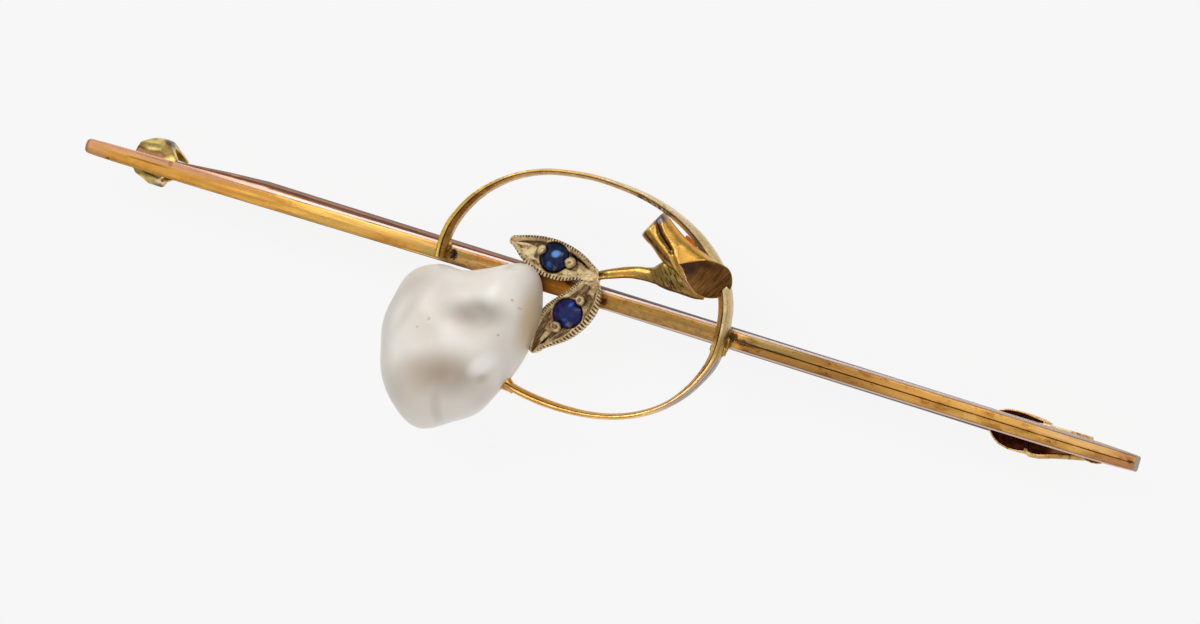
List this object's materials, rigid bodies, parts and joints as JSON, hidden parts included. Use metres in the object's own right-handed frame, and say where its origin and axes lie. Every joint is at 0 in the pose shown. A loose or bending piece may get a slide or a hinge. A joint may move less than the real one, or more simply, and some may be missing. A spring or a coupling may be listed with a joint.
{
  "type": "bar brooch",
  "caption": "Slender gold bar brooch with an oval wire ring, a baroque pearl, sapphire-set leaves and a twig, hinged pin behind",
  "frame": {"origin": "on the surface that the brooch lies on, under the middle of its box", "axes": "+X along the bar towards the hinge end, +Y towards the top of the ring, +Z out of the front of the brooch"},
  "size_m": [0.057, 0.0148, 0.0069],
  "materials": {
    "gold": "worn yellow gold, brushed along the bar",
    "pearl": "lustrous cream white",
    "sapphire": "polished facets",
    "pin_metal": "tarnished, smooth"
  },
  "bodies": {
    "brooch": {"frame": "gold", "pearl": "pearl", "sapphire_upper": "sapphire", "sapphire_lower": "sapphire", "hinge_rivet": "gold"},
    "pin": {"pin_stem": "pin_metal"}
  },
  "joints": [
    {"name": "pin_swing", "type": "hinge", "parent": "brooch", "child": "pin", "pos_m": [0.0226, 0.0012, 0.00118], "axis": [0, -1, 0], "range_deg": [0, 80]}
  ]
}
